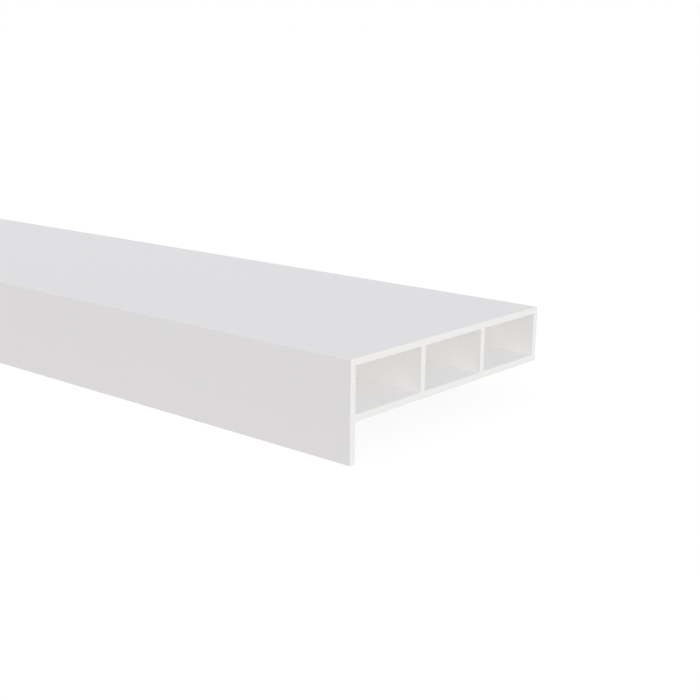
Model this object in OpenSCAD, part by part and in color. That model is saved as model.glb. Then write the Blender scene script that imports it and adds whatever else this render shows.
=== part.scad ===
// Chambered profile with a drop apron, one extruded length of hard white PVC.
// The length runs along X, the apron faces -Y, and the apron's tip is at Z = 0.

/* [Stock] */
// Length that the stock is sawn to
stock_length = 1000; // [500:100:6000]

/* [Board] */
// Depth of the board, from the apron's face to the back edge
board_depth = 100; // [80:1:200]
// Thickness of the board, over both skins
board_thickness = 19; // [15:0.5:40]

/* [Apron] */
// How far the apron hangs below the board's underside
apron_drop = 13; // [6:0.5:60]

/* [Walls] */
// Top and bottom skins of the board
skin = 2.2; // [1.4:0.1:3]
// Front wall, which runs down into the apron, and back wall
side_wall = 2.2; // [1.4:0.1:3]
// Webs between the chambers
web = 2.2; // [1.2:0.1:3]

/* [Chambers] */
// Number of chambers side by side
chambers = 3; // [2:1:5]
// Clear width of the front chamber; the others share what is left of the depth
front_chamber = 31.2; // [10:0.1:40]

/* [Edges] */
// Radius on the outside edges
edge_radius = 0.4; // [0.1:0.1:0.6]
// Radius in the corners of the chambers
chamber_radius = 0.3; // [0.1:0.1:1]
// Fillet between the apron's back and the board's underside
lap_radius = 0.5; // [0.1:0.1:2]

/* [Hidden] */
$fn = 48;
pvc_white = [0.93, 0.93, 0.92];

// Levels and places of the section, across Y and up Z
front = -board_depth / 2;
back = board_depth / 2;
apron_back = front + side_wall;
underside = apron_drop;
top = underside + board_thickness;

// Clear sizes of the chambers
chamber_height = board_thickness - 2 * skin;
inner_depth = board_depth - 2 * side_wall;
rear_chamber = (inner_depth - front_chamber - (chambers - 1) * web) / (chambers - 1);

function chamber_width(i) = i == 0 ? front_chamber : rear_chamber;
function chamber_start(i) =
    i == 0 ? apron_back : chamber_start(i - 1) + chamber_width(i - 1) + web;

// What lies between a square corner at the origin and its quarter round
module corner_nib(radius) {
    difference() {
        square(radius);
        translate([radius, radius]) circle(radius);
    }
}

// A nib whose square corner is at the given point, turned into the wanted quadrant
module nib_at(point, quadrant, radius) {
    translate(point) rotate(90 * quadrant) corner_nib(radius);
}

module rounded_square(size, radius) {
    difference() {
        square(size);
        nib_at([0, 0], 0, radius);
        nib_at([size[0], 0], 1, radius);
        nib_at([size[0], size[1]], 2, radius);
        nib_at([0, size[1]], 3, radius);
    }
}

// Board and apron as one outline, with its outside edges eased
module outline() {
    difference() {
        union() {
            translate([front, underside]) square([board_depth, board_thickness]);
            translate([front, 0]) square([side_wall, top]);
            nib_at([apron_back, underside], 3, lap_radius);
        }
        nib_at([front, 0], 0, edge_radius);
        nib_at([apron_back, 0], 1, edge_radius);
        nib_at([back, underside], 1, edge_radius);
        nib_at([back, top], 2, edge_radius);
        nib_at([front, top], 3, edge_radius);
    }
}

// The openings that the die leaves between the walls and the webs
module chamber_openings() {
    for (i = [0 : chambers - 1])
        translate([chamber_start(i), underside + skin])
            rounded_square([chamber_width(i), chamber_height], chamber_radius);
}

module section() {
    difference() {
        outline();
        chamber_openings();
    }
}

module chambered_profile() {
    color(pvc_white)
        rotate([90, 0, 90])
            linear_extrude(height = stock_length, center = true) section();
}

chambered_profile();
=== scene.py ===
import math

import bpy
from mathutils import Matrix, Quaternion, Vector


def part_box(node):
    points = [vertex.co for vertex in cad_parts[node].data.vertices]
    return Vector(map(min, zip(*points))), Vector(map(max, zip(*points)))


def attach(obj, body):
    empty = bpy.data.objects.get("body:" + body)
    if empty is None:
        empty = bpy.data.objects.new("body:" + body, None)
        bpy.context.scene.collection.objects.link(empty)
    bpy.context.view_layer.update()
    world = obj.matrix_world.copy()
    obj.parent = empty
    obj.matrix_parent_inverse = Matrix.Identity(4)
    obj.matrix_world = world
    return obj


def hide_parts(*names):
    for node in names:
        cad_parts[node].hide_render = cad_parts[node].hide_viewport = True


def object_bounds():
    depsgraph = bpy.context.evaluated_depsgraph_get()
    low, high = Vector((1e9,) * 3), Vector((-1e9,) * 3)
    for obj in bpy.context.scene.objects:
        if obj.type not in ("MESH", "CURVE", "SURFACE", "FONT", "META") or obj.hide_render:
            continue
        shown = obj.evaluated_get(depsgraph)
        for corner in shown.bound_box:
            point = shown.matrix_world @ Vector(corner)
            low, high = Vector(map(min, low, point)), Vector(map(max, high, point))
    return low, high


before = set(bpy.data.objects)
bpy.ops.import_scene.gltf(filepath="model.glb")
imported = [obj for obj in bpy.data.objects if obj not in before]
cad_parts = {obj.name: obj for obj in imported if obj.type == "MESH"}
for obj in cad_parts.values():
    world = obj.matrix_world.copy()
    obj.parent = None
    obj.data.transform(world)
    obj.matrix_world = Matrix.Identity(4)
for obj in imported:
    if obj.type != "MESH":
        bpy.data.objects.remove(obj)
cadLow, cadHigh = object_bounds()
print("frame loaded, box", [round(side, 4) for side in cadHigh - cadLow])


# Small helpers for node trees

def plug(tree, source, socket):
    # A socket is linked, and anything else becomes the input's own value
    if isinstance(source, bpy.types.NodeSocket):
        tree.links.new(source, socket)
    else:
        socket.default_value = source


def addNode(tree, kind, feeds=None, **settings):
    node = tree.nodes.new(kind)
    for name, value in settings.items():
        setattr(node, name, value)
    for name, source in (feeds or {}).items():
        plug(tree, source, node.inputs[name])
    return node


def calc(tree, operation, *terms):
    node = addNode(tree, "ShaderNodeMath", operation=operation)
    for socket, term in zip(node.inputs, terms):
        plug(tree, term, socket)
    return node.outputs[0]


def halfOf(tree, value):
    return calc(tree, "MULTIPLY", value, 0.5)


def joinOf(tree, *parts):
    join = addNode(tree, "GeometryNodeJoinGeometry")
    for part in parts:
        plug(tree, part, join.inputs[0])
    return join.outputs[0]


def mixShaders(tree, factor, first, second):
    mix = addNode(tree, "ShaderNodeMixShader", {"Fac": factor})
    plug(tree, first, mix.inputs[1])
    plug(tree, second, mix.inputs[2])
    return mix.outputs[0]


# White PVC: the skin that the die leaves, and the sawn ends.
# A larger scale sets a pattern's marks closer together, and depths are in metres.

skinLook = {
    "white": (0.866, 0.861, 0.846, 1.0),
    "shade": (0.848, 0.843, 0.828, 1.0),   # where the melt ran a little duller
    "roughness": (0.58, 0.66),             # least and most
    "gloss": 0.4,
    "ior": 1.53,
    "streakStretch": 0.012,                # die lines run on for about 80 times their width
    "streakScale": 900.0,                  # and stand about a millimetre apart
    "streakDetail": 4.0,
    "streakRoughness": 0.6,
    "streakDepth": 0.000010,
    "cloudScale": 14.0,                    # patches about 70 mm across
    "cloudDetail": 3.0,
}

sawnLook = {
    "white": (0.862, 0.856, 0.841, 1.0),
    "shade": (0.836, 0.829, 0.812, 1.0),
    "roughness": (0.66, 0.78),             # least and most
    "gloss": 0.4,
    "ior": 1.53,
    "bladeCentre": (0.0, -0.11, 0.05),     # the saw's arbor, seen along the profile
    "kerfScale": 520.0,                    # tooth marks about 0.6 mm apart
    "kerfWander": 3.0,
    "kerfDetail": 3.0,
    "kerfDetailScale": 0.6,
    "chipScale": 2600.0,                   # torn spots of about 0.4 mm
    "chipDetail": 3.0,
    "markDepth": 0.000020,
}


def newFinish(name):
    finish = bpy.data.materials.new(name)
    finish.use_nodes = True
    finish.node_tree.nodes.clear()
    return finish, finish.node_tree


def blendOf(tree, factor, low, high):
    # A Mix node lists its sockets for colours after those for numbers and vectors
    mix = addNode(tree, "ShaderNodeMix", {"Factor": factor}, data_type="RGBA")
    mix.inputs[6].default_value = low
    mix.inputs[7].default_value = high
    return mix.outputs[2]


def rangeOf(tree, value, low, high):
    return addNode(tree, "ShaderNodeMapRange", {"Value": value, "To Min": low, "To Max": high}).outputs[0]


def finishWith(tree, look, colour, roughness, height, depth):
    bump = addNode(tree, "ShaderNodeBump", {"Height": height, "Strength": 1.0, "Distance": depth})
    shader = addNode(tree, "ShaderNodeBsdfPrincipled", {
        "Base Color": colour,
        "Roughness": roughness,
        "IOR": look["ior"],
        "Specular IOR Level": look["gloss"],
        "Normal": bump.outputs["Normal"],
    })
    addNode(tree, "ShaderNodeOutputMaterial", {"Surface": shader.outputs["BSDF"]})


def makeSkinFinish():
    finish, tree = newFinish("extrudedWhitePvc")
    spot = addNode(tree, "ShaderNodeTexCoord").outputs["Object"]
    alongDie = addNode(tree, "ShaderNodeMapping", {
        "Vector": spot,
        "Scale": (skinLook["streakStretch"], 1.0, 1.0),
    })
    streaks = addNode(tree, "ShaderNodeTexNoise", {
        "Vector": alongDie.outputs["Vector"],
        "Scale": skinLook["streakScale"],
        "Detail": skinLook["streakDetail"],
        "Roughness": skinLook["streakRoughness"],
    })
    clouds = addNode(tree, "ShaderNodeTexNoise", {
        "Vector": spot,
        "Scale": skinLook["cloudScale"],
        "Detail": skinLook["cloudDetail"],
    })
    both = halfOf(tree, calc(tree, "ADD", streaks.outputs[0], clouds.outputs[0]))
    colour = blendOf(tree, both, skinLook["shade"], skinLook["white"])
    roughness = rangeOf(tree, both, *skinLook["roughness"])
    finishWith(tree, skinLook, colour, roughness, streaks.outputs[0], skinLook["streakDepth"])
    return finish


def makeSawnFinish():
    finish, tree = newFinish("sawnWhitePvc")
    spot = addNode(tree, "ShaderNodeTexCoord").outputs["Object"]
    fromBlade = addNode(tree, "ShaderNodeMapping", {
        "Vector": spot,
        "Location": sawnLook["bladeCentre"],
    }, vector_type="TEXTURE")
    kerfs = addNode(tree, "ShaderNodeTexWave", {
        "Vector": fromBlade.outputs["Vector"],
        "Scale": sawnLook["kerfScale"],
        "Distortion": sawnLook["kerfWander"],
        "Detail": sawnLook["kerfDetail"],
        "Detail Scale": sawnLook["kerfDetailScale"],
    }, wave_type="RINGS", rings_direction="X")
    chips = addNode(tree, "ShaderNodeTexNoise", {
        "Vector": spot,
        "Scale": sawnLook["chipScale"],
        "Detail": sawnLook["chipDetail"],
    })
    both = halfOf(tree, calc(tree, "ADD", kerfs.outputs["Fac"], chips.outputs[0]))
    colour = blendOf(tree, both, sawnLook["shade"], sawnLook["white"])
    roughness = rangeOf(tree, both, *sawnLook["roughness"])
    finishWith(tree, sawnLook, colour, roughness, both, sawnLook["markDepth"])
    return finish


# The profile: one section, filled and drawn out along the length by Geometry Nodes.
# Sizes are in metres, and the whole length, depth and height are those of the frame.

profile = {
    "Board Thickness": 0.019,
    "Wall": 0.0022,              # both skins, the back wall, and the front wall with its apron
    "Web": 0.0022,
    "Chambers": 3,
    "Front Chamber": 0.0312,     # the other chambers share what is left of the depth
    "Edge Radius": 0.0004,
    "Chamber Radius": 0.0003,
    "Lap Radius": 0.0005,        # where the apron's back meets the board's underside
    "Arc Steps": 4,
    "Sawn Edge": 0.00008,        # break that the deburring knife leaves round the sawn ends
    "Sawn Edge Steps": 2,
    "Sawn Edge Angle": 60.0,     # degrees: an edge that turns by less than this stays as it is
}
lapCorner = 2                    # counted from 0, the corner of the outline with the lap radius
indexMargin = 0.1                # the nodes compare whole numbers as decimals
weldDistance = 0.000001
endFacing = 0.5                  # a face whose normal has more than this along the length is sawn


def rounded(tree, loop, radius, steps):
    return addNode(tree, "GeometryNodeFilletCurve", {
        "Curve": loop,
        "Count": steps,
        "Radius": radius,
        "Limit Radius": True,
    }, mode="POLY").outputs[0]


def outlineOf(tree, sizes):
    # Board and apron in one loop, from the apron's tip and round by the back edge
    back = halfOf(tree, sizes["Depth"])
    front = calc(tree, "SUBTRACT", back, sizes["Depth"])
    apronBack = calc(tree, "ADD", front, sizes["Wall"])
    underside = calc(tree, "SUBTRACT", sizes["Height"], sizes["Board Thickness"])
    corners = [
        (front, 0.0),
        (apronBack, 0.0),
        (apronBack, underside),
        (back, underside),
        (back, sizes["Height"]),
        (front, sizes["Height"]),
    ]
    index = addNode(tree, "GeometryNodeInputIndex").outputs[0]
    pick = addNode(tree, "GeometryNodeIndexSwitch", {"Index": index}, data_type="VECTOR")
    while len(pick.index_switch_items) < len(corners):
        pick.index_switch_items.new()
    for number, (across, up) in enumerate(corners):
        corner = addNode(tree, "ShaderNodeCombineXYZ", {"X": across, "Y": up})
        plug(tree, corner.outputs[0], pick.inputs[number + 1])
    points = addNode(tree, "GeometryNodePoints", {"Count": len(corners), "Position": pick.outputs[0]})
    chain = addNode(tree, "GeometryNodePointsToCurves", {"Points": points.outputs[0]})
    loop = addNode(tree, "GeometryNodeSetSplineCyclic", {"Geometry": chain.outputs[0], "Cyclic": True})
    isLap = calc(tree, "COMPARE", index, lapCorner, indexMargin)
    radius = addNode(tree, "GeometryNodeSwitch", {
        "Switch": isLap,
        "False": sizes["Edge Radius"],
        "True": sizes["Lap Radius"],
    }, input_type="FLOAT").outputs[0]
    return rounded(tree, loop.outputs[0], radius, sizes["Arc Steps"])


def chamberLoops(tree, sizes):
    # A unit square on each chamber's middle, stretched to the chamber and then rounded
    walls = calc(tree, "MULTIPLY", sizes["Wall"], 2.0)
    inner = calc(tree, "SUBTRACT", sizes["Depth"], walls)
    others = calc(tree, "SUBTRACT", sizes["Chambers"], 1.0)
    webs = calc(tree, "MULTIPLY", others, sizes["Web"])
    left = calc(tree, "SUBTRACT", calc(tree, "SUBTRACT", inner, sizes["Front Chamber"]), webs)
    otherWidth = calc(tree, "DIVIDE", left, others)

    index = addNode(tree, "GeometryNodeInputIndex").outputs[0]
    isFront = calc(tree, "COMPARE", index, 0.0, indexMargin)
    width = addNode(tree, "GeometryNodeSwitch", {
        "Switch": isFront,
        "False": otherWidth,
        "True": sizes["Front Chamber"],
    }, input_type="FLOAT").outputs[0]

    # Counted from the back edge, because there every chamber but the front one is alike
    behind = calc(tree, "SUBTRACT", others, index)
    step = calc(tree, "ADD", otherWidth, sizes["Web"])
    fromBack = calc(tree, "ADD", calc(tree, "MULTIPLY", behind, step), sizes["Wall"])
    farSide = calc(tree, "SUBTRACT", halfOf(tree, sizes["Depth"]), fromBack)
    across = calc(tree, "SUBTRACT", farSide, halfOf(tree, width))
    up = calc(tree, "SUBTRACT", sizes["Height"], halfOf(tree, sizes["Board Thickness"]))
    height = calc(tree, "SUBTRACT", sizes["Board Thickness"], walls)

    middle = addNode(tree, "ShaderNodeCombineXYZ", {"X": across, "Y": up})
    points = addNode(tree, "GeometryNodePoints", {"Count": sizes["Chambers"], "Position": middle.outputs[0]})
    square = addNode(tree, "GeometryNodeCurvePrimitiveQuadrilateral", {"Width": 1.0, "Height": 1.0})
    stretch = addNode(tree, "ShaderNodeCombineXYZ", {"X": width, "Y": height, "Z": 1.0})
    squares = addNode(tree, "GeometryNodeInstanceOnPoints", {
        "Points": points.outputs[0],
        "Instance": square.outputs[0],
        "Scale": stretch.outputs[0],
    })
    loops = addNode(tree, "GeometryNodeRealizeInstances", {"Geometry": squares.outputs[0]})
    return rounded(tree, loops.outputs[0], sizes["Chamber Radius"], sizes["Arc Steps"])


def drawnOut(tree, section, length):
    # The section's face travels along the length, and a copy turned round closes the start
    walls = addNode(tree, "GeometryNodeExtrudeMesh", {
        "Mesh": section,
        "Offset": (0.0, 0.0, 1.0),
        "Offset Scale": length,
        "Individual": False,
    }, mode="FACES")
    start = addNode(tree, "GeometryNodeFlipFaces", {"Mesh": section})
    both = joinOf(tree, start.outputs[0], walls.outputs["Mesh"])
    welded = addNode(tree, "GeometryNodeMergeByDistance", {"Geometry": both, "Distance": weldDistance})
    # It was drawn flat and upwards: now it stands, with the length along X and centred
    halfBack = addNode(tree, "ShaderNodeCombineXYZ", {"X": calc(tree, "MULTIPLY", length, -0.5)})
    quarter = math.radians(90.0)
    return addNode(tree, "GeometryNodeTransform", {
        "Geometry": welded.outputs[0],
        "Translation": halfBack.outputs[0],
        "Rotation": (quarter, 0.0, quarter),
    }).outputs[0]


def makeProfileTree():
    tree = bpy.data.node_groups.new("chamberedExtrusion", "GeometryNodeTree")
    tree.is_modifier = True
    lengths = ("Length", "Depth", "Height", "Board Thickness", "Wall", "Web", "Front Chamber",
               "Edge Radius", "Chamber Radius", "Lap Radius")
    counts = ("Chambers", "Arc Steps")
    finishes = ("Skin Finish", "Sawn Finish")
    for names, kind in ((lengths, "Float"), (counts, "Int"), (finishes, "Material")):
        for name in names:
            tree.interface.new_socket(name, in_out="INPUT", socket_type="NodeSocket" + kind)
    tree.interface.new_socket("Profile", in_out="OUTPUT", socket_type="NodeSocketGeometry")

    sizes = addNode(tree, "NodeGroupInput").outputs
    loops = joinOf(tree, chamberLoops(tree, sizes), outlineOf(tree, sizes))
    section = addNode(tree, "GeometryNodeFillCurve", {"Curve": loops}, mode="NGONS")
    solid = drawnOut(tree, section.outputs[0], sizes["Length"])

    # Faces that look along the length are the sawn ends
    facing = addNode(tree, "ShaderNodeSeparateXYZ", {
        "Vector": addNode(tree, "GeometryNodeInputNormal").outputs["True Normal"],
    })
    isSawn = calc(tree, "GREATER_THAN", calc(tree, "ABSOLUTE", facing.outputs["X"]), endFacing)
    isExtruded = calc(tree, "SUBTRACT", 1.0, isSawn)
    shaded = addNode(tree, "GeometryNodeSetShadeSmooth", {"Geometry": solid, "Shade Smooth": isExtruded})
    real = addNode(tree, "GeometryNodeRealizeInstances", {"Geometry": shaded.outputs[0]})
    skinned = addNode(tree, "GeometryNodeSetMaterial", {
        "Geometry": real.outputs[0],
        "Material": sizes["Skin Finish"],
    })
    sawn = addNode(tree, "GeometryNodeSetMaterial", {
        "Geometry": skinned.outputs[0],
        "Selection": isSawn,
        "Material": sizes["Sawn Finish"],
    })
    addNode(tree, "NodeGroupOutput", {"Profile": sawn.outputs[0]})
    return tree


def makeProfile(node):
    low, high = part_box(node)
    values = dict(profile)
    values["Length"], values["Depth"], values["Height"] = high - low
    values["Skin Finish"] = makeSkinFinish()
    values["Sawn Finish"] = makeSawnFinish()

    tree = makeProfileTree()
    maker = bpy.data.objects.new("profileMaker", bpy.data.meshes.new("profileMaker"))
    bpy.context.scene.collection.objects.link(maker)
    extrude = maker.modifiers.new("extrude", "NODES")
    extrude.node_group = tree
    for socket in tree.interface.items_tree:
        if socket.in_out == "INPUT":
            extrude[socket.identifier] = values[socket.name]

    deburr = maker.modifiers.new("deburr", "BEVEL")
    deburr.width = profile["Sawn Edge"]
    deburr.segments = profile["Sawn Edge Steps"]
    deburr.limit_method = "ANGLE"
    deburr.angle_limit = math.radians(profile["Sawn Edge Angle"])
    # Weighted normals keep the broad faces flat right up to their round edges
    flatten = maker.modifiers.new("flatten", "WEIGHTED_NORMAL")
    flatten.keep_sharp = True

    shapes = bpy.context.evaluated_depsgraph_get()
    mesh = bpy.data.meshes.new_from_object(
        maker.evaluated_get(shapes), preserve_all_data_layers=True, depsgraph=shapes)
    mesh.name = "extrudedProfile"
    mesh.materials.pop(index=0)      # the maker's own empty slot
    bpy.data.objects.remove(maker)
    piece = bpy.data.objects.new("extrudedProfile", mesh)
    bpy.context.scene.collection.objects.link(piece)
    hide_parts(node)
    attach(piece, "root")
    return piece


piece = makeProfile("chambered_profile")
print("profile drawn out,", len(piece.data.polygons), "faces")


# Pale floor, white to the camera apart from the object's shadow

studio = {
    "floorSize": 30.0,                           # metres
    "floorColour": (0.40, 0.40, 0.40, 1.0),      # what the floor throws back at the object
    "shadowColour": (0.28, 0.28, 0.28, 1.0),     # the part of its white that a shadow can take away
    "floorGlow": 0.78,                           # the part that stays in any shadow
    "background": (1.0, 1.0, 1.0, 1.0),
    "worldColour": (0.96, 0.98, 1.0, 1.0),       # light that comes evenly from all sides
    "worldStrength": 0.613,
}


def seenDirectly(tree):
    # 1 for the rays that show the background, to the eye, in a gloss or through glass
    path = addNode(tree, "ShaderNodeLightPath")
    mirrored = calc(tree, "MAXIMUM", path.outputs["Is Camera Ray"], path.outputs["Is Glossy Ray"])
    return calc(tree, "MAXIMUM", mirrored, path.outputs["Is Transmission Ray"])


def makeFloor():
    finish, tree = newFinish("studioFloor")
    bounce = addNode(tree, "ShaderNodeBsdfDiffuse", {"Color": studio["floorColour"]})
    shadow = addNode(tree, "ShaderNodeBsdfDiffuse", {"Color": studio["shadowColour"]})
    glow = addNode(tree, "ShaderNodeEmission", {"Strength": studio["floorGlow"]})
    shown = addNode(tree, "ShaderNodeAddShader")
    plug(tree, shadow.outputs[0], shown.inputs[0])
    plug(tree, glow.outputs[0], shown.inputs[1])
    lit = mixShaders(tree, seenDirectly(tree), bounce.outputs[0], shown.outputs[0])
    # Seen from below the floor hides nothing
    underneath = addNode(tree, "ShaderNodeNewGeometry").outputs["Backfacing"]
    clear = addNode(tree, "ShaderNodeBsdfTransparent")
    addNode(tree, "ShaderNodeOutputMaterial", {
        "Surface": mixShaders(tree, underneath, lit, clear.outputs[0]),
    })

    half = studio["floorSize"] / 2
    mesh = bpy.data.meshes.new("floor")
    corners = [(-half, -half, 0.0), (half, -half, 0.0), (half, half, 0.0), (-half, half, 0.0)]
    mesh.from_pydata(corners, [], [(0, 1, 2, 3)])
    mesh.materials.append(finish)
    floor = bpy.data.objects.new("floor", mesh)
    bpy.context.scene.collection.objects.link(floor)
    floor.location.z = cadLow.z


def makeWorld():
    world = bpy.data.worlds.new("studioWorld")
    world.use_nodes = True
    tree = world.node_tree
    tree.nodes.clear()
    light = addNode(tree, "ShaderNodeBackground", {
        "Color": studio["worldColour"],
        "Strength": studio["worldStrength"],
    })
    backdrop = addNode(tree, "ShaderNodeBackground", {"Color": studio["background"], "Strength": 1.0})
    addNode(tree, "ShaderNodeOutputWorld", {
        "Surface": mixShaders(tree, seenDirectly(tree), light.outputs[0], backdrop.outputs[0]),
    })
    bpy.context.scene.world = world


# Each lamp by the side it shines from: azimuth 0 is from the front, 90 from the right end.
# The fills stand for what a white room throws back: they cast no shadow, so they reach into the
# chambers too, and the low ones come from under the horizon and put no sheen on the top.
# The top fill comes from behind, or the round foot of each web would show as a bright line,
# and the right fill is square to the end, or it would graze the webs.

lamps = {
    "keyLight": {"azimuth": 30.0, "elevation": 25.0, "softness": 40.0,
                 "strength": 0.31, "colour": (1.0, 0.941, 0.994), "shadow": True},
    "leftLight": {"azimuth": 340.0, "elevation": 15.0, "softness": 40.0,
                  "strength": 0.3, "colour": (1.0, 0.819, 0.949), "shadow": True},
    "topFill": {"azimuth": 135.0, "elevation": 60.0, "softness": 0.0,
                "strength": 0.678, "colour": (0.915, 0.907, 1.0), "shadow": False},
    "rightFill": {"azimuth": 90.0, "elevation": -12.0, "softness": 0.0,
                  "strength": 1.015, "colour": (1.0, 0.986, 0.921), "shadow": False},
    "frontFill": {"azimuth": 30.0, "elevation": -12.0, "softness": 0.0,
                  "strength": 0.69, "colour": (0.997, 1.0, 0.979), "shadow": False},
    "backFill": {"azimuth": 180.0, "elevation": -12.0, "softness": 0.0,
                 "strength": 0.6, "colour": (0.978, 0.984, 1.0), "shadow": False},
    "leftFill": {"azimuth": 270.0, "elevation": -12.0, "softness": 0.0,
                 "strength": 1.281, "colour": (0.985, 0.993, 1.0), "shadow": False},
}


def makeLamps():
    for name, lamp in lamps.items():
        sun = bpy.data.lights.new(name, "SUN")
        sun.energy = lamp["strength"]
        sun.color = lamp["colour"]
        sun.angle = math.radians(lamp["softness"])
        sun.use_shadow = lamp["shadow"]
        holder = bpy.data.objects.new(name, sun)
        bpy.context.scene.collection.objects.link(holder)
        azimuth = math.radians(lamp["azimuth"])
        elevation = math.radians(lamp["elevation"])
        source = Vector((
            math.sin(azimuth) * math.cos(elevation),
            -math.cos(azimuth) * math.cos(elevation),
            math.sin(elevation),
        ))
        holder.rotation_mode = "QUATERNION"
        holder.rotation_quaternion = (-source).to_track_quat("-Z", "Y")
        holder.location = source     # only sets the lamps apart in the viewport


# The camera stands off the right end's near top corner, and its place is measured from there

viewpoint = {
    "focalPixels": 1182.3,  # the focal length, counted in pixels of the picture
    "imagePixels": 700,     # the picture's width
    "sensorWidth": 36.0,    # millimetres
    "clipStart": 0.01,      # metres
    "yaw": 40.027,          # degrees to the left of looking straight at the apron
    "pitch": 13.972,        # degrees down
    "roll": 0.683,          # degrees anticlockwise, seen from behind the camera
    "aside": 0.00032,       # metres to the left of the corner
    "away": 0.32373,        # metres back from it, on the level
    "above": 0.08335,       # metres above it
}


def makeCamera():
    low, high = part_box("chambered_profile")
    corner = Vector((high.x, low.y, high.z))
    yaw = math.radians(viewpoint["yaw"])
    pitch = math.radians(viewpoint["pitch"])
    forward = Vector((-math.sin(yaw), math.cos(yaw), 0.0))
    right = Vector((math.cos(yaw), math.sin(yaw), 0.0))
    up = Vector((0.0, 0.0, 1.0))
    lens = bpy.data.cameras.new("camera")
    lens.sensor_width = viewpoint["sensorWidth"]
    lens.lens = viewpoint["focalPixels"] * lens.sensor_width / viewpoint["imagePixels"]
    lens.clip_start = viewpoint["clipStart"]
    camera = bpy.data.objects.new("camera", lens)
    bpy.context.scene.collection.objects.link(camera)
    camera.location = (
        corner - right * viewpoint["aside"] - forward * viewpoint["away"] + up * viewpoint["above"]
    )
    sight = forward * math.cos(pitch) - up * math.sin(pitch)
    lean = Quaternion((0.0, 0.0, 1.0), math.radians(viewpoint["roll"]))
    camera.rotation_mode = "QUATERNION"
    camera.rotation_quaternion = sight.to_track_quat("-Z", "Y") @ lean
    bpy.context.scene.camera = camera


makeFloor()
makeWorld()
makeLamps()
makeCamera()
bpy.context.scene.view_settings.view_transform = "Standard"
print("studio set")
